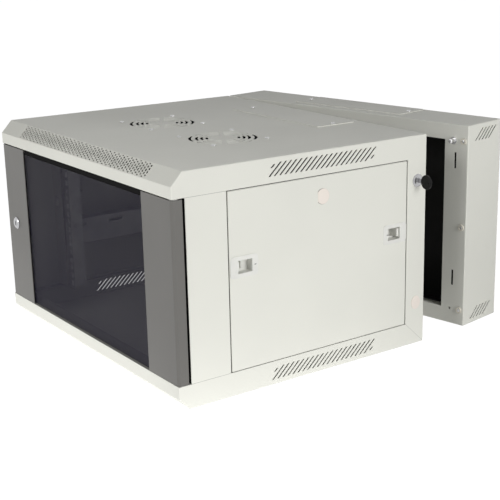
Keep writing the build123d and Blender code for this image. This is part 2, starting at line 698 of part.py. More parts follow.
earth_place = Pos(EARTH_STUD_OFFSET, FRONT + EARTH_STUD_SETBACK, 0)
earth_nut = hexagon_nut(EARTH_NUT_FLATS, EARTH_SHOULDER, EARTH_NUT)
earth_stud = rod(EARTH_STUD_RADIUS, (0, 0, 0), Z_AXIS, EARTH_STUD_LENGTH)
earth_stud += rod(EARTH_SHOULDER, (0, 0, 0), Z_AXIS, SHEET + EARTH_NUT)
parts["earth_stud"] = earth_place * earth_stud
parts["earth_nut"] = earth_place * Pos(0, 0, SHEET) * earth_nut


# Side panels: shallow trays that lift off


def make_side_panel():
    """Return the right side panel."""
    y0, y1 = FRONT_PILLAR_BACK + PANEL_GAP, REAR_PILLAR_FRONT - PANEL_GAP
    z0, z1 = BOTTOM_SEAM + SEAT_GAP, TOP_SEAM - PANEL_GAP
    tray = block(HALF - PANEL_FLANGE, HALF, y0, y1, z0, z1)
    rims = [edge for edge in tray.edges() if edge.center().X > HALF - PANEL_FLANGE + 0.01]
    tray = fillet(rims, EDGE_RADIUS)
    tray -= block(HALF - PANEL_FLANGE - 1, HALF - SHEET, y0 + SHEET, y1 - SHEET, z0 + SHEET, z1 - SHEET)
    plug_hole = rod(PLUG_HOLE_RADIUS, (HALF - 2 * SHEET, SIDE_MIDDLE, PLUG_HEIGHT), X_AXIS, 3 * SHEET)
    flat = SIDE_MIDDLE - PLUG_FLAT
    tray -= plug_hole - block(HALF - 3 * SHEET, HALF + 2 * SHEET, flat - PLUG_RADIUS, flat,
                              PLUG_HEIGHT - PLUG_RADIUS, PLUG_HEIGHT + PLUG_RADIUS)
    for end in (-1, 1):
        y0, y1 = latch_span(end, LATCH_BODY_INSET - SCREW_FIT, LATCH_LENGTH - LATCH_BODY_INSET + SCREW_FIT)
        half = LATCH_TALL / 2 - LATCH_BODY_INSET + SCREW_FIT
        tray -= block(HALF - 2 * SHEET, HALF + 1, y0, y1, LATCH_HEIGHT - half, LATCH_HEIGHT + half)
    return tray


def latch_span(end, near, far):
    """Return y limits measured from a latch's outer end; end is -1 in front and 1 at the rear."""
    if end < 0:
        start = FRONT_PILLAR_BACK + LATCH_INSET
        return start + near, start + far
    start = REAR_PILLAR_FRONT - LATCH_INSET
    return start - far, start - near


def latch_block(end, x0, x1, near, far, tall):
    """Return a block placed from a latch's outer end and centred on its height."""
    y0, y1 = latch_span(end, near, far)
    return block(x0, x1, y0, y1, LATCH_HEIGHT - tall / 2, LATCH_HEIGHT + tall / 2)


def make_latch_housing(end):
    """Return a right-hand latch bezel with the pocketed body behind it."""
    bezel = latch_block(end, HALF, HALF + LATCH_PROUD, 0, LATCH_LENGTH, LATCH_TALL)
    bezel = fillet(bezel.edges().filter_by(Axis.X), 6)
    back = HALF - LATCH_BODY_DEPTH
    housing = bezel + latch_block(end, back, HALF + LATCH_PROUD / 2, LATCH_BODY_INSET,
                                  LATCH_LENGTH - LATCH_BODY_INSET, LATCH_TALL - 2 * LATCH_BODY_INSET)
    housing -= latch_block(end, HALF - POCKET_DEPTH, HALF + 2, POCKET_INSET,
                           POCKET_INSET + POCKET_LENGTH, POCKET_TALL)
    play = SEAT_GAP
    half = TONGUE_THICK / 2 + play
    housing -= latch_block(end, LATCH_DEEP - half, LATCH_DEEP + half, -1,
                           POCKET_INSET + TAB_THICK + TONGUE_TRAVEL + 2, TONGUE_TALL + 2 * play)
    housing -= latch_block(end, LATCH_DEEP, HALF - POCKET_DEPTH + 1, POCKET_INSET,
                           POCKET_INSET + TAB_THICK + TONGUE_TRAVEL + 2, TONGUE_TALL + 2 * play)
    return housing


def make_latch_tongue(end):
    """Return a right-hand latch tongue with its finger tab."""
    half = TONGUE_THICK / 2
    nose = -LATCH_INSET - TONGUE_REACH
    tab = POCKET_INSET + SEAT_GAP
    tongue = latch_block(end, LATCH_DEEP - half, LATCH_DEEP + half, nose, tab + TAB_THICK, TONGUE_TALL)
    tongue += latch_block(end, LATCH_DEEP, HALF - 3, tab, tab + TAB_THICK, TONGUE_TALL)
    return tongue


def make_panel_plug():
    """Return the plug in the right panel's unused lock hole, round with a flat on its front side."""
    plug = rod(PLUG_RADIUS, (HALF, SIDE_MIDDLE, PLUG_HEIGHT), X_AXIS, PLUG_PROUD)
    plug += rod(PLUG_HOLE_RADIUS, (HALF - 2 * SHEET, SIDE_MIDDLE, PLUG_HEIGHT), X_AXIS, 2 * SHEET)
    flat = SIDE_MIDDLE - PLUG_FLAT
    return plug - block(HALF - 3 * SHEET, HALF + 2 * PLUG_PROUD, flat - PLUG_RADIUS, flat,
                        PLUG_HEIGHT - PLUG_RADIUS, PLUG_HEIGHT + PLUG_RADIUS)


parts["side_panel_right"] = make_side_panel()
parts["side_panel_left"] = flip(parts["side_panel_right"])
right_housings = [make_latch_housing(end) for end in (-1, 1)]
parts["latch_housings_right"] = group(right_housings)
parts["latch_housings_left"] = group([flip(housing) for housing in right_housings])
for name, end in (("front", -1), ("rear", 1)):
    tongue = make_latch_tongue(end)
    parts[f"latch_tongue_{name}_right"] = tongue
    parts[f"latch_tongue_{name}_left"] = flip(tongue)
parts["panel_plugs"] = group([make_panel_plug(), flip(make_panel_plug())])


# Door: tinted glass between two folded steel strips


def make_door_strip():
    """Return the right door strip."""
    inner = HALF - STRIP_WIDTH
    path = [(inner, FRONT), (HALF - STRIP_BEVEL_WIDTH, FRONT), (HALF, FRONT + STRIP_BEVEL_DEPTH),
            (HALF, FRONT + DOOR_DEPTH), (HALF - STRIP_RETURN, FRONT + DOOR_DEPTH)]
    return along_z(folded(path, SHEET), DOOR_BOTTOM, DOOR_TOP)


def make_gasket(edge, width):
    """Return an upright gasket between strip and glass, starting at an x."""
    return block(edge, edge + width, FRONT + SHEET, FRONT + SHEET + GASKET_THICK,
                 DOOR_BOTTOM + GLASS_RISE, DOOR_TOP - GLASS_DROP)


def make_bracket(low, end):
    """Return a door hinge bracket with its pin; end is 1 at the top and -1 at the bottom."""
    plate = block(HALF - SHEET - BRACKET_LENGTH, HALF - SHEET, FRONT + SHEET + STRIP_BEVEL_DEPTH,
                  FRONT + DOOR_DEPTH - SHEET - BEND, low, low + BRACKET_THICK)
    pin_length = BRACKET_THICK + DOOR_PIN_REACH
    start = low if end > 0 else low + BRACKET_THICK
    return plate + rod(DOOR_PIN_RADIUS, (DOOR_PIN_X, DOOR_PIN_Y, start), (0, 0, end), pin_length)


def make_washer(low, thick):
    """Return a plain bearing washer round a door pin."""
    place = (DOOR_PIN_X, DOOR_PIN_Y, low)
    hole = (DOOR_PIN_X, DOOR_PIN_Y, low - 1)
    return rod(WASHER_RADIUS, place, Z_AXIS, thick) - rod(DOOR_PIN_RADIUS + PIN_FIT, hole, Z_AXIS, thick + 2)


DOOR_PIN_REACH = TOP_SEAM - DOOR_TOP + SHEET + 3
strip_inner = HALF - STRIP_WIDTH
glass_reach = strip_inner + GLASS_UNDER_STRIP
glass_front = FRONT + SHEET + GASKET_THICK
parts["door_strip_right"] = make_door_strip()
parts["door_strip_left"] = flip(make_door_strip())
parts["door_glass"] = block(-glass_reach, glass_reach, glass_front, glass_front + GLASS_THICK,
                            DOOR_BOTTOM + GLASS_RISE, DOOR_TOP - GLASS_DROP)
right_gaskets = [make_gasket(strip_inner + SEAT_GAP, GASKET_WIDTH)]
right_gaskets.append(make_gasket(glass_reach - GASKET_WIDTH, GASKET_WIDTH - 1))
parts["door_gaskets"] = group(right_gaskets + [flip(gasket) for gasket in right_gaskets])
parts["door_brackets"] = group([make_bracket(DOOR_TOP - BRACKET_THICK, 1), make_bracket(DOOR_BOTTOM, -1)])
lower_washer = make_washer(BOTTOM_SEAM, DOOR_BOTTOM - BOTTOM_SEAM - SEAT_GAP / 2)
upper_washer = make_washer(DOOR_TOP + 2 * SEAT_GAP, TOP_SEAM - DOOR_TOP - 2 * SEAT_GAP)
parts["door_washers"] = group([lower_washer, upper_washer])


# Cam locks, built along +Z with the face at z = 0 and the barrel below it


def lock_body():
    """Return a lock's fixed body with its front flange."""
    body = rod(LOCK_FLANGE_RADIUS, (0, 0, 0), Z_AXIS, LOCK_FLANGE)
    rim = body.edges().filter_by(GeomType.CIRCLE).sort_by(Axis.Z)[-1]
    body = chamfer(rim, LOCK_FLANGE * 0.6)
    body += rod(LOCK_BODY_RADIUS, (0, 0, -LOCK_BODY_LENGTH), Z_AXIS, LOCK_BODY_LENGTH)
    return body - rod(LOCK_PLUG_RADIUS + PIN_FIT, (0, 0, -LOCK_BODY_LENGTH - 1), Z_AXIS, LOCK_BODY_LENGTH + 6)


def lock_plug(depth):
    """Return a lock's turning plug with its keyway, reaching to a depth below the face."""
    plug = rod(LOCK_PLUG_RADIUS, (0, 0, -depth), Z_AXIS, depth + LOCK_FLANGE + SEAT_GAP)
    top = LOCK_FLANGE + SEAT_GAP
    keyway = block(-KEYWAY_WIDTH / 2, KEYWAY_WIDTH / 2, -KEYWAY_TALL / 2, KEYWAY_TALL / 2,
                   top - KEYWAY_DEPTH, top + 1)
    return plug - keyway


def lock_cam(reach):
    """Return a cam plate with a rounded end, pointing along +Y, under its own top face."""
    half = CAM_WIDTH / 2
    outline = Pos(0, (reach - half) / 2) * Rectangle(CAM_WIDTH, reach - half)
    outline += Circle(LOCK_PLUG_RADIUS + 1) + Pos(0, reach - half) * Circle(half)
    return extrude(outline, amount=-CAM_THICK)


def lock_nut():
    """Return the nut that clamps a lock's body behind the sheet."""
    return Pos(0, 0, -SHEET - LOCK_NUT) * hexagon_nut(LOCK_NUT_FLATS, LOCK_BODY_RADIUS, LOCK_NUT)


# In the door the lock's face looks forward; the cam hangs down when it is unlocked
door_lock_x = -HALF + DOOR_LOCK_INSET
door_lock = Location(Plane(origin=(door_lock_x, FRONT, DOOR_LOCK_HEIGHT), x_dir=X_AXIS, z_dir=(0, -1, 0)))
door_cam_top = Pos(0, 0, -(DOOR_CAM_PLANE - CAM_THICK / 2))
lock_hole = (door_lock_x, FRONT - 1, DOOR_LOCK_HEIGHT)
parts["door_strip_left"] -= rod(LOCK_BODY_RADIUS + SCREW_FIT, lock_hole, Y_AXIS, 3)
parts["door_lock_body"] = door_lock * lock_body()
parts["door_lock_nut"] = door_lock * lock_nut()
parts["door_lock_plug"] = door_lock * lock_plug(DOOR_CAM_PLANE - CAM_THICK / 2)
parts["door_lock_cam"] = door_lock * door_cam_top * Rot(Z=180) * lock_cam(DOOR_CAM_REACH)

# In the right rear pillar the lock's face looks right; the cam stands up when it is unlocked
swing_lock_place = (HALF, BACK - SWING_LOCK_INSET, SWING_LOCK_HEIGHT)
swing_lock = Location(Plane(origin=swing_lock_place, x_dir=Y_AXIS, z_dir=X_AXIS))
swing_cam_top = Pos(0, 0, -(SWING_CAM_PLANE - CAM_THICK / 2))
parts["swing_lock_body"] = swing_lock * lock_body()
parts["swing_lock_nut"] = swing_lock * lock_nut()
parts["swing_lock_plug"] = swing_lock * lock_plug(SWING_CAM_PLANE - CAM_THICK / 2)
parts["swing_lock_cam"] = swing_lock * swing_cam_top * Rot(Z=SWING_CAM_LEAN) * lock_cam(SWING_CAM_REACH)


# Key: a flat blade in the swing lock's keyway and a round moulded head


def make_key_blade():
    """Return the key's blade, pushed home to just short of the keyway's floor."""
    tip = LOCK_FLANGE + SEAT_GAP - KEYWAY_DEPTH + SEAT_GAP
    return block(-KEY_BLADE_THICK / 2, KEY_BLADE_THICK / 2, -KEY_BLADE_TALL / 2, KEY_BLADE_TALL / 2,
                 tip, KEY_HEAD_OUT - KEY_HEAD_RADIUS + 2)


def make_key_head():
    """Return the key's head with its ring hole, moulded round the end of the blade."""
    head = rod(KEY_HEAD_RADIUS, (-KEY_HEAD_THICK / 2, 0, KEY_HEAD_OUT), X_AXIS, KEY_HEAD_THICK)
    head = chamfer(head.edges().filter_by(GeomType.CIRCLE), KEY_HEAD_THICK * 0.25)
    ring_hole = (-KEY_HEAD_THICK, 0, KEY_HEAD_OUT + KEY_HOLE_OUT)
    head -= rod(KEY_HOLE_RADIUS, ring_hole, X_AXIS, 2 * KEY_HEAD_THICK)
    return head - make_key_blade()


parts["key_blade"] = swing_lock * make_key_blade()
parts["key_head"] = swing_lock * make_key_head()


# Oval plug over the spare lock hole in the right rear pillar


def make_oval_plug():
    """Return the oval plug in the spare lock hole."""
    outline = Ellipse(OVAL_PLUG_WIDTH / 2, OVAL_PLUG_HEIGHT / 2)
    plug = extrude(outline, amount=PLUG_PROUD) + rod(LOCK_BODY_RADIUS, (0, 0, -2 * SHEET), Z_AXIS, 2 * SHEET)
    return plug


oval_place = Plane(origin=(HALF, BACK - SWING_LOCK_INSET, SPARE_LOCK_HEIGHT), x_dir=Y_AXIS, z_dir=X_AXIS)
parts["pillar_plug"] = Location(oval_place) * make_oval_plug()


# Wall section, built closed and then turned open about the hinge


def swung(shape):
    """Return a piece of the wall section turned open about the hinge axis."""
    return Pos(SWING_X, SWING_Y, 0) * Rot(Z=OPEN_ANGLE) * Pos(-SWING_X, -SWING_Y, 0) * shape


def make_wall_shell():
    """Return the wall section's folded box with the flange round its front opening."""
    shell = block(-HALF, HALF, WALL_FRONT, WALL_BACK, 0, HEIGHT)
    rims = [edge for edge in shell.edges() if edge.center().Y < WALL_BACK - 0.01]
    shell = fillet(rims, EDGE_RADIUS)
    shell -= block(-HALF + SHEET, HALF - SHEET, WALL_FRONT + SHEET, WALL_BACK + 1, SHEET, HEIGHT - SHEET)
    side, low, high = HALF - WALL_FLANGE_SIDE, WALL_FLANGE_TOP, HEIGHT - WALL_FLANGE_TOP
    shell += block(-side - SHEET, side + SHEET, WALL_FRONT + SHEET / 2, WALL_FRONT + WALL_FLANGE_LIP,
                   low - SHEET, high + SHEET)
    shell -= block(-side, side, WALL_FRONT - 1, WALL_FRONT + WALL_FLANGE_LIP + 1, low, high)
    for z0 in (VENT_EDGE, HEIGHT - VENT_EDGE - VENT_HEIGHT):
        shell -= vents(WALL_FRONT + WALL_VENT_START, WALL_VENT_COUNT, z0, -HALF - 1, HALF + 1, False)
    for height in (SWING_LOCK_HEIGHT, SPARE_LOCK_HEIGHT):
        shell -= cam_slot(height, WALL_FRONT - 1, WALL_FRONT + 2 * SHEET)
    for setback, z in ((WALL_TOP_COVER_SETBACK, HEIGHT), (WALL_BOTTOM_COVER_SETBACK, 0)):
        y = WALL_BACK - setback - WALL_COVER_DEPTH / 2
        shell -= block(-ENTRY_LENGTH / 2, ENTRY_LENGTH / 2, y - ENTRY_DEPTH / 2, y + ENTRY_DEPTH / 2,
                       z - 2 * SHEET, z + 2 * SHEET)
        for x, screw_y in cover_screw_places(y):
            shell -= screw_hole((x, screw_y, z - 2 * SHEET), Z_AXIS, 4 * SHEET)
    for height in buffer_heights():
        shell -= screw_hole((HALF - BUFFER_INSET, WALL_FRONT - 1, height), Y_AXIS, 3 * SHEET)
    spare_guide = (HALF - GUIDE_PIN_INSET, WALL_FRONT - 1, GUIDE_PIN_EDGE)
    return shell - screw_hole(spare_guide, Y_AXIS, 3 * SHEET, SCREW_FIT)


def wall_hole_places():
    """Return the x and z of the four wall fixing holes."""
    return [(across * WALL_HOLE_SPACING / 2, HEIGHT / 2 + up * WALL_HOLE_RISE / 2)
            for across in (-1, 1) for up in (-1, 1)]


def make_back_plate():
    """Return the plate that closes the wall section's back and is screwed to the wall."""
    front = WALL_BACK - BACK_PLATE_FLANGE
    plate = block(-HALF + SHEET, HALF - SHEET, front, WALL_BACK, SHEET, HEIGHT - SHEET)
    plate -= block(-HALF + 2 * SHEET, HALF - 2 * SHEET, front - 1, WALL_BACK - SHEET,
                   2 * SHEET, HEIGHT - 2 * SHEET)
    cutout = Pos(0, WALL_CUTOUT_LOW + WALL_CUTOUT_HEIGHT / 2) * RectangleRounded(
        WALL_CUTOUT_WIDTH, WALL_CUTOUT_HEIGHT, 8)
    plate -= along_y(cutout, WALL_BACK - 2 * SHEET, WALL_BACK + 1)
    for x, z in wall_hole_places():
        plate -= rod(WALL_HOLE_RADIUS, (x, WALL_BACK - 2 * SHEET, z), Y_AXIS, 3 * SHEET)
    return plate


def buffer_heights():
    """Return the heights of the buffers on the right flange."""
    return [BUFFER_EDGE, HEIGHT / 2, HEIGHT - BUFFER_EDGE]


def make_buffer(height):
    """Return a buffer with the recess for its screw."""
    x = HALF - BUFFER_INSET
    stop = rod(BUFFER_RADIUS, (x, WALL_FRONT, height), (0, -1, 0), BUFFER_HEIGHT)
    stop -= rod(BUFFER_RADIUS * 0.55, (x, WALL_FRONT - BUFFER_HEIGHT / 2, height), (0, -1, 0), BUFFER_HEIGHT)
    return stop - screw_hole((x, WALL_FRONT + 1, height), (0, -1, 0), BUFFER_HEIGHT)


def make_guide_pin():
    """Return the tapered pin that centres the main body as it closes."""
    start = (HALF - GUIDE_PIN_INSET, WALL_FRONT, HEIGHT - GUIDE_PIN_EDGE)
    pin = rod(GUIDE_PIN_RADIUS, start, (0, -1, 0), GUIDE_PIN_LENGTH)
    tip = pin.edges().filter_by(GeomType.CIRCLE).sort_by(Axis.Y)[0]
    pin = chamfer(tip, GUIDE_PIN_RADIUS * 0.5)
    return pin + rod(GUIDE_COLLAR_RADIUS, start, (0, -1, 0), GUIDE_COLLAR)


def knuckle_spans(middle):
    """Return the low and high ends of a hinge's three knuckles."""
    share = (LEAF_HEIGHT - 2 * KNUCKLE_GAP) / 3
    low = middle - LEAF_HEIGHT / 2
    return [(low + number * (share + KNUCKLE_GAP), low + number * (share + KNUCKLE_GAP) + share)
            for number in range(3)]


def make_leaf(middle, y0, spans, bore):
    """Return a hinge leaf with its knuckles, its plate starting at y0."""
    low, high = middle - LEAF_HEIGHT / 2, middle + LEAF_HEIGHT / 2
    leaf = block(-HALF, -HALF + LEAF_WIDTH, y0, y0 + LEAF, low, high)
    for z0, z1 in spans:
        knuckle = rod(BARREL_RADIUS, (SWING_X, SWING_Y, z0), Z_AXIS, z1 - z0)
        knuckle += block(SWING_X, -HALF + 1, y0, y0 + LEAF, z0, z1)
        leaf += knuckle - rod(bore, (SWING_X, SWING_Y, z0 - 1), Z_AXIS, z1 - z0 + 2)
    return leaf


def make_hinge_pin(middle):
    """Return a section hinge's pin with its head."""
    low = (SWING_X, SWING_Y, middle - LEAF_HEIGHT / 2)
    top = (SWING_X, SWING_Y, middle + LEAF_HEIGHT / 2)
    return rod(HINGE_PIN_RADIUS, low, Z_AXIS, LEAF_HEIGHT) + rod(HINGE_PIN_RADIUS + 1.5, top, Z_AXIS, 1.5)


hinge_middles = (LEAF_EDGE, HEIGHT - LEAF_EDGE)
body_leaves, wall_leaves, hinge_pins = [], [], []
for middle in hinge_middles:
    lower, centre, upper = knuckle_spans(middle)
    body_leaves.append(make_leaf(middle, BACK, [centre], HINGE_PIN_RADIUS + PIN_FIT))
    wall_leaves.append(make_leaf(middle, WALL_FRONT - LEAF, [lower, upper], HINGE_PIN_RADIUS))
    hinge_pins.append(make_hinge_pin(middle))
parts["hinge_body_leaves"] = group(body_leaves)
parts["hinge_wall_leaves"] = group([swung(leaf) for leaf in wall_leaves])
parts["hinge_pins"] = group([swung(pin) for pin in hinge_pins])

wall_top_y = WALL_BACK - WALL_TOP_COVER_SETBACK - WALL_COVER_DEPTH / 2
wall_bottom_y = WALL_BACK - WALL_BOTTOM_COVER_SETBACK - WALL_COVER_DEPTH / 2
parts["wall_shell"] = swung(make_wall_shell())
parts["wall_back_plate"] = swung(make_back_plate())
parts["wall_top_cover"] = swung(make_cover(wall_top_y, WALL_COVER_DEPTH, HEIGHT))
parts["wall_bottom_cover"] = swung(make_cover(wall_bottom_y, WALL_COVER_DEPTH, SHEET))
parts["wall_buffers"] = group([swung(make_buffer(height)) for height in buffer_heights()])
parts["wall_guide_pin"] = swung(make_guide_pin())
wall_screws = make_cover_screws(wall_top_y, HEIGHT + SHEET) + make_cover_screws(wall_bottom_y, 2 * SHEET)
for height in buffer_heights():
    point = (HALF - BUFFER_INSET, WALL_FRONT - BUFFER_HEIGHT / 2, height)
    wall_screws.append(screw(point, (0, -1, 0), BUFFER_HEIGHT / 2 + 2 * SHEET, BUFFER_RADIUS * 0.5, 1))
parts["wall_section_screws"] = group([swung(piece) for piece in wall_screws])


os.makedirs("parts", exist_ok=True)
for name, shape in parts.items():
    export_step(shape, f"parts/{name}.step")
    print(name, round(shape.volume))
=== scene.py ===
from math import cos, pi, radians, sin

import bpy
from mathutils import Matrix, Vector


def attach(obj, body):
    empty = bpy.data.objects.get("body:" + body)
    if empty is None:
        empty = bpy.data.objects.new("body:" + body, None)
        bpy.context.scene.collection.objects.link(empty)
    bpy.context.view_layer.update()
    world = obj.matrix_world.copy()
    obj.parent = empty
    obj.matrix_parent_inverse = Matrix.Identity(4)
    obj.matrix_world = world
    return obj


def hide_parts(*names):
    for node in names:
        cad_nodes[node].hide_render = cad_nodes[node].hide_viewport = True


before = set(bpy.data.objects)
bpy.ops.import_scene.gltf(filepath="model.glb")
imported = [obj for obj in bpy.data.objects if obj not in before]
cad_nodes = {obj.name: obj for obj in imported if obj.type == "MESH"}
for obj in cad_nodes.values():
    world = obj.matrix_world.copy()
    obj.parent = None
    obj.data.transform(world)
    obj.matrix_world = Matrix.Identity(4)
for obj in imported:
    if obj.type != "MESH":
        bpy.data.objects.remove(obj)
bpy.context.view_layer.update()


# Wall section shell: a shallow box of folded sheet steel, fixed to the wall, with a flange
# round its front opening and slanted vents in its sides. It is coated with light grey powder
# paint, which dries to a fine orange peel and is a little thinner and darker in places.


class Reading:
    """One value in a node tree, which can be used in sums with numbers and other readings."""

    def __init__(self, graph, socket):
        self.graph = graph
        self.socket = socket

    def sum(self, operation, first, second=0):
        return self.graph.node("ShaderNodeMath", {"operation": operation}, {0: first, 1: second})

    def __add__(self, other):
        return self.sum("ADD", self, other)

    __radd__ = __add__

    def __sub__(self, other):
        return self.sum("SUBTRACT", self, other)

    def __rsub__(self, other):
        return self.sum("SUBTRACT", other, self)

    def __mul__(self, other):
        return self.sum("MULTIPLY", self, other)

    __rmul__ = __mul__

    def __gt__(self, other):
        return self.sum("GREATER_THAN", self, other)

    def __lt__(self, other):
        return self.sum("LESS_THAN", self, other)

    def __abs__(self):
        return self.sum("ABSOLUTE", self)


class Graph:
    """A node tree that is built one node at a time."""

    def __init__(self, tree):
        self.tree = tree

    def node(self, kind, settings=None, inputs=None, output=0):
        """Add a node: its settings first, then values or readings for its inputs."""
        made = self.tree.nodes.new(kind)
        for setting, value in (settings or {}).items():
            setattr(made, setting, value)
        for name, value in (inputs or {}).items():
            socket = made.inputs[name]
            for given in value if isinstance(value, list) else [value]:
                if isinstance(given, Reading):
                    self.tree.links.new(given.socket, socket)
                elif socket.type == "RGBA":
                    socket.default_value = (*given, 1)
                else:
                    socket.default_value = given
        return Reading(self, made.outputs[output]) if made.outputs else None


class Finish(Graph):
    """A procedural surface finish, which follows the object's own coordinates."""

    def __init__(self, name):
        self.material = bpy.data.materials.new(name)
        self.material.use_nodes = True
        super().__init__(self.material.node_tree)
        self.tree.nodes.clear()
        self.spot = self.node("ShaderNodeTexCoord", output="Object")

    def along(self, axis):
        """How far a spot lies along X, Y or Z."""
        return self.node("ShaderNodeSeparateXYZ", inputs={"Vector": self.spot}, output=axis)

    def noise(self, scale, detail=2, stretch=(1, 1, 1)):
        """A cloud or grain, in features per metre, stretched along the axes."""
        spot = self.node("ShaderNodeMapping", inputs={"Vector": self.spot, "Scale": stretch})
        return self.node("ShaderNodeTexNoise", inputs={"Vector": spot, "Scale": scale, "Detail": detail})

    def mix(self, share, first, second):
        """A colour between two others."""
        inputs = {0: share, 6: first, 7: second}
        return self.node("ShaderNodeMix", {"data_type": "RGBA"}, inputs, output=2)

    def range(self, reading, low, high, to_low=0, to_high=1):
        """A reading stretched from one range to another and held there."""
        inputs = {"Value": reading, "From Min": low, "From Max": high, "To Min": to_low, "To Max": to_high}
        return self.node("ShaderNodeMapRange", inputs=inputs)

    def bump(self, height, depth, strength):
        """A relief of that depth in metres."""
        return self.node("ShaderNodeBump", inputs={"Height": height, "Distance": depth, "Strength": strength})

    def paint(self, **inputs):
        """Finish the surface and return its material."""
        named = {name.replace("_", " "): value for name, value in inputs.items()}
        surface = self.node("ShaderNodeBsdfPrincipled", inputs=named)
        self.node("ShaderNodeOutputMaterial", inputs={"Surface": surface})
        return self.material


def dimmed(colour, share):
    """A colour at a share of its brightness."""
    return tuple(share * part for part in colour)


def dress(material, *names):
    """Give CAD nodes a material."""
    for name in names:
        for place in cad_nodes[name].material_slots:
            place.material = material


PEEL_SCALE, PEEL_DEPTH, PEEL_STRENGTH = 620, 0.00012, 0.5
SEAM_HALF, SEAM_SHADE = 0.00035, 0.62
MITRE_START, MITRE_END = 0.207, 0.249
MITRE_HALF, MITRE_SHADE = 1.4 * SEAM_HALF, 0.4
IN_SHADE = 0.25


def powder_coat(name, colour, thin, rough=0.4, gloss=0.12, seams=None):
    """Powder paint with its orange peel, and with hairline seams at the given heights.

    The seams end at the rear pillar, where the lowest runs on as a mitre to the rear edge.
    """
    coat = Finish(name)
    cloud = coat.noise(4, 3)
    peel = coat.noise(PEEL_SCALE)
    shade = coat.mix(coat.range(cloud + 0.3 * peel, 0.45, 0.95), colour, thin)
    if seams:
        depth, height = coat.along("Y"), coat.along("Z")
        line = sum(abs(height - seam) < SEAM_HALF for seam in seams) * (depth < MITRE_START)
        slope = seams[-1] / (MITRE_END - MITRE_START)
        mitre = (abs(height + slope * depth - slope * MITRE_END) < MITRE_HALF) * (depth > MITRE_START)
        shade = coat.mix(line * SEAM_SHADE + mitre * MITRE_SHADE, shade, dimmed(colour, IN_SHADE))
    return coat.paint(Base_Color=shade, Roughness=rough + 0.12 * cloud,
                      Normal=coat.bump(peel, PEEL_DEPTH, PEEL_STRENGTH), Specular_IOR_Level=gloss)


LIGHT_GREY = (0.74, 0.74, 0.68)
LIGHT_GREY_THIN = (0.69, 0.69, 0.635)
light_coat = powder_coat("light_coat", LIGHT_GREY, LIGHT_GREY_THIN)
dress(light_coat, "wall_shell", "wall_top_cover", "wall_bottom_cover")


# Back plate: the flat plate that is screwed to the wall. Its coat is black as painted shade, for the deep
# shade inside the wall section. It is seen only through the gap between the two sections and from behind.

black_coat = powder_coat("black_coat", (0.016, 0.016, 0.017), (0.022, 0.021, 0.02), 0.5)
dress(black_coat, "wall_back_plate")


# Buffers and guide pin: three pale moulded stops, and a turned zinc-plated pin that finds
# its hole in the main body as the sections close.

MOULD_GRAIN, MOULD_DEPTH, MOULD_STRENGTH = 900, 0.00006, 0.4
PLATE_GRAIN, PLATE_DEPTH, PLATE_STRENGTH = 260, 0.00002, 0.35


def moulding(name, colour, rough, grain=MOULD_GRAIN, gloss=0.4):
    """Moulded plastic or rubber with the fine texture of its mould."""
    plastic = Finish(name)
    texture = plastic.noise(grain)
    cloud = plastic.range(plastic.noise(25, 3), 0.35, 0.7)
    tone = plastic.mix(cloud, colour, dimmed(colour, 0.9))
    return plastic.paint(Base_Color=tone, Roughness=rough + 0.1 * texture,
                         Normal=plastic.bump(texture, MOULD_DEPTH, MOULD_STRENGTH), Specular_IOR_Level=gloss)


def plated(name, colour, rough, stretch=(1, 1, 1), grain=PLATE_GRAIN):
    """Plated steel: a bright metal with faint drawn lines and a cloudy sheen."""
    metal = Finish(name)
    lines = metal.noise(grain, 4, stretch)
    cloud = metal.noise(30)
    tone = metal.mix(metal.range(cloud, 0.3, 0.75), colour, dimmed(colour, 0.78))
    return metal.paint(Base_Color=tone, Metallic=1.0, Roughness=rough + 0.18 * lines + 0.06 * cloud,
                       Normal=metal.bump(lines, PLATE_DEPTH, PLATE_STRENGTH))


buffer_rubber = moulding("buffer_rubber", (0.72, 0.69, 0.60), 0.5)
zinc = plated("zinc", (0.72, 0.72, 0.72), 0.2)
dress(buffer_rubber, "wall_buffers")
dress(zinc, "wall_guide_pin")


# Hinges between the sections: folded leaves with rolled knuckles, coated with the sheet they
# sit on, round plain zinc-plated pins.

dress(light_coat, "hinge_wall_leaves", "hinge_body_leaves")
dress(zinc, "hinge_pins")


# Screws of the wall section: zinc-plated pan heads with a cross recess, one at each end of a
# cable cover and one in each buffer. Every screw was left at its own turn.

SCREW_SEED = 7
PAN_HEAD, BUFFER_HEAD = (0.0042, 0.0022), (0.0029, 0.001)
HEAD_SIDES = 28
SHOULDER_REACH, CROWN_REACH = 0.86, 0.55
RIM_RISE, STEP_RISE, SHOULDER_LIFT, CROWN_LIFT = 0.42, 0.3, 0.4, 0.69
RECESS_LENGTH, RECESS_WIDTH, RECESS_LIFT = 1.15, 0.26, 0.95


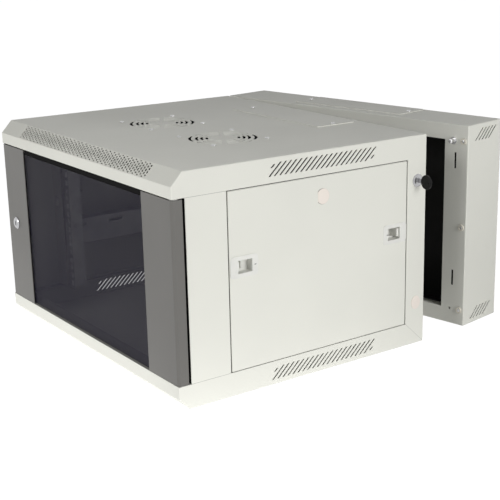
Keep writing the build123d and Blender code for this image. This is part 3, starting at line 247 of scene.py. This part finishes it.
def screw_tree():
    """Geometry nodes that set a cross-recessed head on every point, at its own turn.

    A head is a rim, a shoulder and a crown, whose sizes are shares of its radius and height.
    """
    tree = bpy.data.node_groups.new("screw_heads", "GeometryNodeTree")
    tree.interface.new_socket("Places", in_out="INPUT", socket_type="NodeSocketGeometry")
    for name in ("Head Radius", "Head Height"):
        tree.interface.new_socket(name, in_out="INPUT", socket_type="NodeSocketFloat")
    tree.interface.new_socket("Facing", in_out="INPUT", socket_type="NodeSocketVector")
    tree.interface.new_socket("Finish", in_out="INPUT", socket_type="NodeSocketMaterial")
    tree.interface.new_socket("Screws", in_out="OUTPUT", socket_type="NodeSocketGeometry")
    graph = Graph(tree)
    given = tree.nodes.new("NodeGroupInput")
    names = ("Head Radius", "Head Height", "Facing", "Finish", "Places")
    radius, height, facing, finish, places = (Reading(graph, given.outputs[name]) for name in names)

    def vector(x, y, z):
        return graph.node("ShaderNodeCombineXYZ", inputs={"X": x, "Y": y, "Z": z})

    def moved(shape, lift, turn=0):
        return graph.node("GeometryNodeTransform", inputs={
            "Geometry": shape, "Translation": vector(0, 0, lift), "Rotation": (0, 0, turn)})

    def cone(low, high, depth, lift):
        return moved(graph.node("GeometryNodeMeshCone", inputs={
            "Vertices": HEAD_SIDES, "Radius Bottom": low, "Radius Top": high, "Depth": depth}), lift)

    def bar(turn):
        size = vector(radius * RECESS_LENGTH, radius * RECESS_WIDTH, height)
        return moved(graph.node("GeometryNodeMeshCube", inputs={"Size": size}), height * RECESS_LIFT, turn)

    rim = cone(radius, radius, height * RIM_RISE, 0)
    shoulder = cone(radius, radius * SHOULDER_REACH, height * STEP_RISE, height * SHOULDER_LIFT)
    crown = cone(radius * SHOULDER_REACH, radius * CROWN_REACH, height * STEP_RISE, height * CROWN_LIFT)
    whole = graph.node("GeometryNodeMeshBoolean", {"operation": "UNION"}, {"Mesh 2": [rim, shoulder, crown]})
    head = graph.node("GeometryNodeMeshBoolean", {"operation": "DIFFERENCE"},
                      {"Mesh 1": whole, "Mesh 2": [bar(0), bar(pi / 2)]})
    aligned = graph.node("FunctionNodeAlignRotationToVector", {"axis": "Z"}, {"Vector": facing})
    angle = graph.node("FunctionNodeRandomValue", {"data_type": "FLOAT"},
                       {"Seed": SCREW_SEED, 3: pi}, output=1)
    turn = graph.node("FunctionNodeAxisAngleToRotation", inputs={"Axis": (0, 0, 1), "Angle": angle})
    turned = graph.node("FunctionNodeRotateRotation", {"rotation_space": "LOCAL"}, {0: aligned, 1: turn})
    placed = graph.node("GeometryNodeInstanceOnPoints", inputs={
        "Points": places, "Instance": head, "Rotation": turned})
    real = graph.node("GeometryNodeRealizeInstances", inputs={"Geometry": placed})
    painted = graph.node("GeometryNodeSetMaterial", inputs={"Geometry": real, "Material": finish})
    result = tree.nodes.new("NodeGroupOutput")
    tree.links.new(painted.socket, result.inputs["Screws"])
    return tree


def grown(name, places, tree, values):
    """Run geometry nodes on a set of points and return the plain mesh object."""
    points = bpy.data.meshes.new(name)
    points.from_pydata(places, [], [])
    piece = bpy.data.objects.new(name, points)
    bpy.context.scene.collection.objects.link(piece)
    modifier = piece.modifiers.new("grown", "NODES")
    modifier.node_group = tree
    for item in tree.interface.items_tree:
        if item.item_type == "SOCKET" and item.in_out == "INPUT" and item.name in values:
            modifier[item.identifier] = values[item.name]
    bpy.context.view_layer.update()
    finished = bpy.data.meshes.new_from_object(piece.evaluated_get(bpy.context.evaluated_depsgraph_get()))
    piece.modifiers.clear()
    piece.data = finished
    return piece


screw_heads = screw_tree()


def screws(name, body, stands_for, places, facing, head=PAN_HEAD):
    """Set zinc screws at the places, heads standing out in one direction."""
    radius, height = head
    values = {"Head Radius": radius, "Head Height": height, "Facing": facing, "Finish": zinc}
    piece = grown(name, places, screw_heads, values)
    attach(piece, body)
    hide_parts(stands_for)


HINGE_X, HINGE_Y, OPEN_ANGLE = -0.3055, 0.2505, radians(10)


def swung(x, y, z):
    """A point of the closed wall section where it stands when turned open."""
    across, along = x - HINGE_X, y - HINGE_Y
    return (HINGE_X + across * cos(OPEN_ANGLE) - along * sin(OPEN_ANGLE),
            HINGE_Y + across * sin(OPEN_ANGLE) + along * cos(OPEN_ANGLE), z)


TOP_COVER_Z, BASE_COVER_Z = 0.3692, 0.0024
COVER_SCREW_X, WALL_TOP_SCREW_Y, WALL_BASE_SCREW_Y = 0.123, 0.311, 0.298
BUFFER_X, BUFFER_FACE_Y, BUFFER_Z = 0.29, 0.2507, (0.0288, 0.184, 0.3392)
wall_outward = Vector((sin(OPEN_ANGLE), -cos(OPEN_ANGLE), 0))
wall_cover_places = [swung(side * COVER_SCREW_X, y, z) for side in (-1, 1)
                     for y, z in ((WALL_TOP_SCREW_Y, TOP_COVER_Z), (WALL_BASE_SCREW_Y, BASE_COVER_Z))]
buffer_places = [swung(BUFFER_X, BUFFER_FACE_Y, z) for z in BUFFER_Z]
screws("wall_cover_screws", "wall_section", "wall_section_screws", wall_cover_places, (0, 0, 1))
screws("buffer_screws", "wall_section", "wall_section_screws", buffer_places, wall_outward, BUFFER_HEAD)


# Main body frames and pillars: the top and bottom frames are folded pans, joined by four
# folded pillars. All are welded, ground flush and coated together, so that only hairline
# seams show where a pillar meets a frame.

TOP_SEAM, BOTTOM_SEAM = 0.3283, 0.0396
body_coat = powder_coat("body_coat", LIGHT_GREY, LIGHT_GREY_THIN, seams=(TOP_SEAM, BOTTOM_SEAM))
dress(body_coat, "top_frame", "bottom_frame", "front_pillar_left", "front_pillar_right",
      "rear_pillar_left", "rear_pillar_right")


# Rails and braces: roll-formed steel with a dull zinc plate, drawn along their length. The
# upright rails carry the equipment, and bolts hold them to the braces at each side.

dress(plated("rail_zinc", (0.80, 0.80, 0.80), 0.36, (3, 3, 0.3)), "front_rail_left", "front_rail_right",
      "rear_rail_left", "rear_rail_right")
dress(plated("brace_zinc", (0.60, 0.60, 0.60), 0.34, (3, 0.3, 3)), "braces_left", "braces_right")
RAIL_BOLT_X, RAIL_BOLT_Y, RAIL_BOLT_Z = 0.2485, (-0.138, 0.178), (0.1626, 0.3023)
for side, inward in (("left", 1), ("right", -1)):
    places = [(-inward * RAIL_BOLT_X, y, z) for y in RAIL_BOLT_Y for z in RAIL_BOLT_Z]
    screws(f"rail_bolt_heads_{side}", "main_body", "rail_bolts", places, (inward, 0, 0))


# Cable covers: plain plates over the cable entries, on the top and inside the base, in the
# same paint as the frames. A screw at each end holds them down.

dress(light_coat, "top_cable_cover", "bottom_cable_cover")
COVER_SCREW_Y = 0.189
body_cover_places = [(side * COVER_SCREW_X, COVER_SCREW_Y, z)
                     for side in (-1, 1) for z in (TOP_COVER_Z, BASE_COVER_Z)]
screws("cable_cover_screw_heads", "main_body", "cable_cover_screws", body_cover_places, (0, 0, 1))


# Fans: two axial fans under the ring grilles of the top, moulded in black plastic. Each
# hangs on four screws through the top, one at each corner.

fan_plastic = moulding("fan_plastic", (0.012, 0.012, 0.013), 0.42, gloss=0.15)
dress(fan_plastic, "fan_frame_left", "fan_frame_right", "fan_rotor_left", "fan_rotor_right")
FAN_X, FAN_Y, FAN_SCREW_REACH, FAN_SCREW_Z = (-0.08825, 0.10925), -0.0335, 0.0525, 0.368
fan_screw_places = [(x + across * FAN_SCREW_REACH, FAN_Y + along * FAN_SCREW_REACH, FAN_SCREW_Z)
                    for x in FAN_X for across in (-1, 1) for along in (-1, 1)]
screws("fan_screw_heads", "main_body", "fan_screws", fan_screw_places, (0, 0, 1))


# Earth stud: a zinc-plated stud through the floor of the base, clamped by a brass nut. It
# takes the lead that earths the cabinet.

dress(zinc, "earth_stud")
dress(plated("brass", (0.72, 0.52, 0.2), 0.25), "earth_nut")


# Side panels: folded trays in the same powder paint. Thin black strips in the gap round them are painted
# shade, for the dark gap. Two latches moulded in light grey plastic hold each, and a small arrow on a latch
# says which way to draw it. Pinkish plugs fill the lock holes that aren't used.

dress(light_coat, "side_panel_left", "side_panel_right")
latch_plastic = moulding("latch_plastic", (0.74, 0.74, 0.70), 0.36)
dress(latch_plastic, "latch_housings_left", "latch_housings_right", "latch_tongue_front_left",
      "latch_tongue_front_right", "latch_tongue_rear_left", "latch_tongue_rear_right")

PINKISH = (0.80, 0.735, 0.67)
PLUG_Y, PLUG_Z, PLUG_RIM = 0.0265, 0.2935, 0.0122
PLUG_SHADE_END, PLUG_SHADE_LEAST, PLUG_SHADE = 0.004, 0.15, 0.75


def plug_cap():
    """Pinkish plug whose rim is in shade on its front side."""
    cap = Finish("plug_cap")
    behind, above = cap.along("Y") - PLUG_Y, cap.along("Z") - PLUG_Z
    rim = behind * behind + above * above > PLUG_RIM ** 2
    shade = rim * cap.range(behind, -PLUG_SHADE_END, PLUG_SHADE_END, 1, PLUG_SHADE_LEAST)
    tone = cap.mix(shade * PLUG_SHADE, PINKISH, dimmed(PINKISH, IN_SHADE))
    grain = cap.noise(MOULD_GRAIN)
    return cap.paint(Base_Color=tone, Roughness=0.45 + 0.1 * grain,
                     Normal=cap.bump(grain, MOULD_DEPTH, MOULD_STRENGTH))


dress(plug_cap(), "panel_plugs")
dress(moulding("plug_plastic", PINKISH, 0.45), "pillar_plug")

ARROW_LENGTH, ARROW_WIDTH, ARROW_THICK = 0.0045, 0.0022, 0.00018
ARROW_BARB, ARROW_NECK, ARROW_SHAFT = 0.5 * ARROW_LENGTH, 0.4 * ARROW_LENGTH, 0.16 * ARROW_WIDTH
FRONT_ARROW_Y, REAR_ARROW_Y = -0.1035, 0.1605
LATCH_FACE_X, LATCH_Z = 0.3008, 0.207


def arrow(side, tip_y, pointing):
    """Vertices and faces of one small arrow on a latch face."""
    flat = [(0, 0), (-ARROW_BARB, ARROW_WIDTH / 2), (-ARROW_NECK, ARROW_SHAFT), (-ARROW_LENGTH, ARROW_SHAFT),
            (-ARROW_LENGTH, -ARROW_SHAFT), (-ARROW_NECK, -ARROW_SHAFT), (-ARROW_BARB, -ARROW_WIDTH / 2)]
    points = [(side * (LATCH_FACE_X + lift), tip_y + pointing * y, LATCH_Z + z)
              for lift in (0, ARROW_THICK) for y, z in flat]
    count = len(flat)
    faces = [tuple(range(count))[::-1], tuple(range(count, 2 * count))]
    faces += [(edge, (edge + 1) % count, count + (edge + 1) % count, count + edge) for edge in range(count)]
    if side * pointing < 0:
        faces = [face[::-1] for face in faces]
    return points, faces


def mesh_piece(name, shapes, material, body):
    """Make one piece out of shapes, each with its points and faces."""
    points, faces = [], []
    for shape_points, shape_faces in shapes:
        faces += [tuple(len(points) + number for number in face) for face in shape_faces]
        points += shape_points
    mesh = bpy.data.meshes.new(name)
    mesh.from_pydata(points, [], faces)
    mesh.materials.append(material)
    piece = bpy.data.objects.new(name, mesh)
    bpy.context.scene.collection.objects.link(piece)
    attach(piece, body)


arrow_ink = moulding("arrow_ink", (0.12, 0.12, 0.12), 0.5)
arrows = [arrow(side, tip, pointing) for side in (-1, 1)
          for tip, pointing in ((FRONT_ARROW_Y, 1), (REAR_ARROW_Y, -1))]
mesh_piece("latch_arrows", arrows, arrow_ink, "main_body")

PANEL_FRONT, PANEL_REAR, PANEL_BOTTOM, PANEL_GAP = -0.154, 0.207, 0.0404, 0.0012
PANEL_SHADE_X, SHADE_PLAY = (0.2905, 0.2987), 0.0002


def box(low, high):
    """Vertices and faces of a box between two corners."""
    points = [(x, y, z) for x in (low[0], high[0]) for y in (low[1], high[1]) for z in (low[2], high[2])]
    return points, [(0, 1, 3, 2), (4, 6, 7, 5), (0, 4, 5, 1), (2, 3, 7, 6), (0, 2, 6, 4), (1, 5, 7, 3)]


def shade_strip(side, across, along, up):
    """A straight black strip of painted shade on the left or right side, from where to where it goes on each
    axis.
    """
    low, high = zip(sorted(side * x for x in across), along, up)
    return box(low, high)


# Black foam: the door gaskets are real foam, and the strips in the panel gaps and on the pillars are painted
# shade in the same black.
foam_and_painted_shade = moulding("foam_and_painted_shade", (0.008, 0.008, 0.008), 0.8, 1500, 0.05)
behind_front, before_rear = PANEL_FRONT + PANEL_GAP, PANEL_REAR - PANEL_GAP
gaps = ((PANEL_FRONT, behind_front, PANEL_BOTTOM), (before_rear, PANEL_REAR, PANEL_BOTTOM),
        (behind_front, before_rear, TOP_SEAM - PANEL_GAP + SHADE_PLAY))
# Strips of painted shade behind the gaps round each side panel.
panel_gap_shade = [shade_strip(side, PANEL_SHADE_X, (near + SHADE_PLAY, far - SHADE_PLAY), (low, TOP_SEAM - SHADE_PLAY))
               for side in (-1, 1) for near, far, low in gaps]
mesh_piece("panel_gap_shade", panel_gap_shade, foam_and_painted_shade, "main_body")


# Door: dark tinted glass, held by foam strips in two folded steel strips with dark grey
# paint, with a black band on its top edge. Thin black strips on the pillars behind it are painted shade,
# where the door shades them. It hangs on zinc-plated pins in the two frames, with plastic washers between.

door_coat = powder_coat("door_coat", (0.150, 0.146, 0.136), (0.128, 0.124, 0.116), 0.34, 0.3)
dress(door_coat, "door_strip_left", "door_strip_right")
dress(foam_and_painted_shade, "door_gaskets")
dress(zinc, "door_brackets")
dress(latch_plastic, "door_washers")

# A black band along the top edge of the glass.
EDGE_REACH, EDGE_FRONT, EDGE_REAR = 0.2108, -0.2464, -0.2416
EDGE_LOW, EDGE_HIGH = 0.3180, 0.3262
top_band = box((-EDGE_REACH, EDGE_FRONT, EDGE_LOW), (EDGE_REACH, EDGE_REAR, EDGE_HIGH))
mesh_piece("glass_top_band", [top_band], foam_and_painted_shade, "door")

# Strips of painted shade on the pillar faces behind the door's edges.
PILLAR_SHADE_X, PILLAR_SHADE_Y, PILLAR_SHADE_END = (0.276, 0.2996), (-0.2275, -0.227), 0.001
pillar_shade_z = (BOTTOM_SEAM + PILLAR_SHADE_END, TOP_SEAM - PILLAR_SHADE_END)
pillar_shade_strips = [shade_strip(side, PILLAR_SHADE_X, PILLAR_SHADE_Y, pillar_shade_z) for side in (-1, 1)]
mesh_piece("pillar_shade_strips", pillar_shade_strips, foam_and_painted_shade, "main_body")


def tinted_glass():
    """Dark glass: part of the light passes, and the rest is held back by the tint."""
    glass = Finish("tinted_glass")
    film = glass.noise(6)
    tone = glass.mix(film, (0.014, 0.012, 0.026), (0.018, 0.016, 0.034))
    return glass.paint(Base_Color=tone, Alpha=0.43, Roughness=0.02 + 0.03 * film, Specular_IOR_Level=0.04)


dress(tinted_glass(), "door_glass")


# Locks: die-cast bodies and plugs with bright chrome, clamped by zinc-plated nuts, each with
# a zinc-plated cam. The key in the swing lock has a steel blade and a round black grip.

chrome = plated("chrome", (0.50, 0.50, 0.51), 0.10, grain=80)
dress(chrome, "door_lock_body", "door_lock_plug", "swing_lock_body", "swing_lock_plug", "key_blade")
dress(zinc, "door_lock_nut", "door_lock_cam", "swing_lock_nut", "swing_lock_cam")
dress(moulding("key_grip", (0.008, 0.008, 0.008), 0.3, gloss=0.12), "key_head")


# Floor, light and camera: a white table under a softbox at the right and a weaker one in
# front. The table is lit most in front of the object, and its light comes back up on the door
# and the sides.

WHITE = (1, 1, 1)
FLOOR_REACH = 12
POOL_MIDDLE, POOL_NEAR, POOL_FAR = (-0.05, -0.55, 0), 0.35, 1.05
POOL_LIGHT, FLOOR_LIGHT, FLOOR_GLOW = 1.7, 1.1, 0.92
MATT_GREY, PAPER_WHITE = (0.6, 0.6, 0.6), (0.9, 0.9, 0.9)
SKY_LIGHT, BACKDROP_LIGHT = 0.08, 1.0


def background_rays(graph):
    """One for a ray that shows the background: straight from the camera, or by a mirror or glass."""
    kinds = ("Is Camera Ray", "Is Glossy Ray", "Is Transmission Ray")
    return sum(graph.node("ShaderNodeLightPath", output=kind) for kind in kinds) > 0.5


def studio_floor():
    """White table with the object's shadow, and a pool of light to everything that stands on it."""
    table = Finish("studio_floor")

    def diffuse(colour):
        return table.node("ShaderNodeBsdfDiffuse", inputs={"Color": colour})

    def emission(strength):
        return table.node("ShaderNodeEmission", inputs={"Color": WHITE, "Strength": strength})

    def between(share, first, second):
        return table.node("ShaderNodeMixShader", inputs={0: share, 1: first, 2: second})

    away = table.node("ShaderNodeVectorMath", {"operation": "DISTANCE"}, {0: table.spot, 1: POOL_MIDDLE},
                      output="Value")
    pool = table.range(away, POOL_NEAR, POOL_FAR, 1, 0)
    lying = between(pool, diffuse(MATT_GREY), emission(POOL_LIGHT))
    shown = between(FLOOR_GLOW, diffuse(PAPER_WHITE), emission(FLOOR_LIGHT))
    surface = between(background_rays(table), lying, shown)
    table.node("ShaderNodeOutputMaterial", inputs={"Surface": surface})
    return table.material


floor_corners = [(x * FLOOR_REACH, y * FLOOR_REACH, 0) for x, y in ((-1, -1), (1, -1), (1, 1), (-1, 1))]
floor_mesh = bpy.data.meshes.new("floor")
floor_mesh.from_pydata(floor_corners, [], [(0, 1, 2, 3)])
floor_mesh.materials.append(studio_floor())
floor = bpy.data.objects.new("floor", floor_mesh)
bpy.context.scene.collection.objects.link(floor)

studio = bpy.data.worlds.new("studio")
studio.use_nodes = True
studio.node_tree.nodes.clear()
sky = Graph(studio.node_tree)
ambient = sky.node("ShaderNodeBackground", inputs={"Color": WHITE, "Strength": SKY_LIGHT})
white = sky.node("ShaderNodeBackground", inputs={"Color": WHITE, "Strength": BACKDROP_LIGHT})
backdrop = sky.node("ShaderNodeMixShader", inputs={0: background_rays(sky), 1: ambient, 2: white})
sky.node("ShaderNodeOutputWorld", inputs={"Surface": backdrop})
bpy.context.scene.world = studio

LIT_SPOT = Vector((0, 0, 0.2))


def softbox(name, place, size, power):
    """A square area light, turned to the object."""
    lamp = bpy.data.lights.new(name, "AREA")
    lamp.shape = "SQUARE"
    lamp.size = size
    lamp.energy = power
    light = bpy.data.objects.new(name, lamp)
    light.location = place
    light.rotation_euler = (LIT_SPOT - Vector(place)).to_track_quat("-Z", "Y").to_euler()
    bpy.context.scene.collection.objects.link(light)


softbox("light_right", (2.5, 0.3, 1.0), size=1.2, power=40)
softbox("light_front", (0.3, -1.5, 1.1), size=0.9, power=12)

CAMERA_PLACE = (1.6785, -1.0567, 0.6996)
CAMERA_YAW, CAMERA_PITCH, CAMERA_ROLL = 0.9279, -0.2774, -0.0111
camera = bpy.data.cameras.new("camera")
camera.lens = 82.0
camera.sensor_width = 36
camera.shift_x = -0.0953
camera.shift_y = 0.0064
ahead = Vector((-sin(CAMERA_YAW) * cos(CAMERA_PITCH), cos(CAMERA_YAW) * cos(CAMERA_PITCH), sin(CAMERA_PITCH)))
level = Vector((cos(CAMERA_YAW), sin(CAMERA_YAW), 0))
upward = level.cross(ahead)
right = cos(CAMERA_ROLL) * level + sin(CAMERA_ROLL) * upward
above = -sin(CAMERA_ROLL) * level + cos(CAMERA_ROLL) * upward
viewer = bpy.data.objects.new("camera", camera)
viewer.matrix_world = Matrix.Translation(CAMERA_PLACE) @ Matrix((right, above, -ahead)).transposed().to_4x4()
bpy.context.scene.collection.objects.link(viewer)
bpy.context.scene.camera = viewer
bpy.context.scene.view_settings.view_transform = "Standard"
